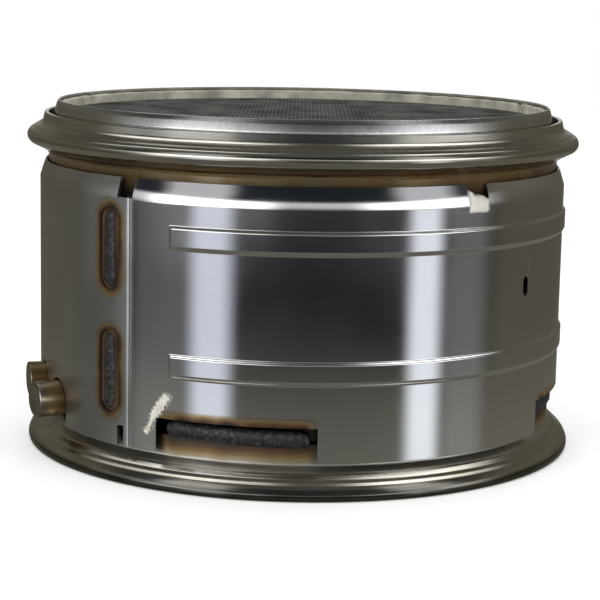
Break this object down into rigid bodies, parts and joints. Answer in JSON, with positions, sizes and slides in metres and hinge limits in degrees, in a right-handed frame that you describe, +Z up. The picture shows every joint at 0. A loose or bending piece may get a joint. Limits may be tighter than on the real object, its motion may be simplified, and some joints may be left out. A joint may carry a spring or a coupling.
{
  "type": "diesel particulate filter",
  "caption": "Round steel exhaust filter section with a clamp flange at each end, a ribbed and seam-welded outer jacket, and a ceramic filter block inside.",
  "frame": {"origin": "on the filter's axis, in the plane of the lower flange's flat base", "axes": "+Z up the axis, from the lower flange to the upper one; -Y towards the front, between the seam and the drain slot; +X to the right seen from the front"},
  "size_m": [0.3536, 0.3536, 0.2181],
  "materials": {
    "ceramic": "matt honeycomb ceramic",
    "mat_fibre": "matt ceramic fibre",
    "blanket_fibre": "matt glass fibre",
    "can_steel": "rolled stainless steel",
    "flange_steel": "turned stainless steel",
    "jacket_steel": "bright rolled stainless steel",
    "lug_steel": "turned steel, heat tinted",
    "weld_metal": "dark rippled weld bead"
  },
  "bodies": {
    "root": {"filter_block": "ceramic", "support_mat": "mat_fibre", "inner_can": "can_steel", "can_seam_weld": "weld_metal", "upper_flange": "flange_steel", "upper_flange_weld": "weld_metal", "lower_flange": "flange_steel", "stitch_weld_1": "weld_metal", "stitch_weld_2": "weld_metal", "stitch_weld_3": "weld_metal", "stitch_weld_4": "weld_metal", "insulation_blanket": "blanket_fibre", "insulation_tuft": "blanket_fibre", "insulation_tail": "blanket_fibre", "jacket": "jacket_steel", "seam_weld_upper": "weld_metal", "seam_weld_lower": "weld_metal", "locating_pin": "lug_steel", "locating_pin_weld": "weld_metal", "locating_boss": "lug_steel", "locating_boss_weld": "weld_metal"}
  },
  "joints": []
}
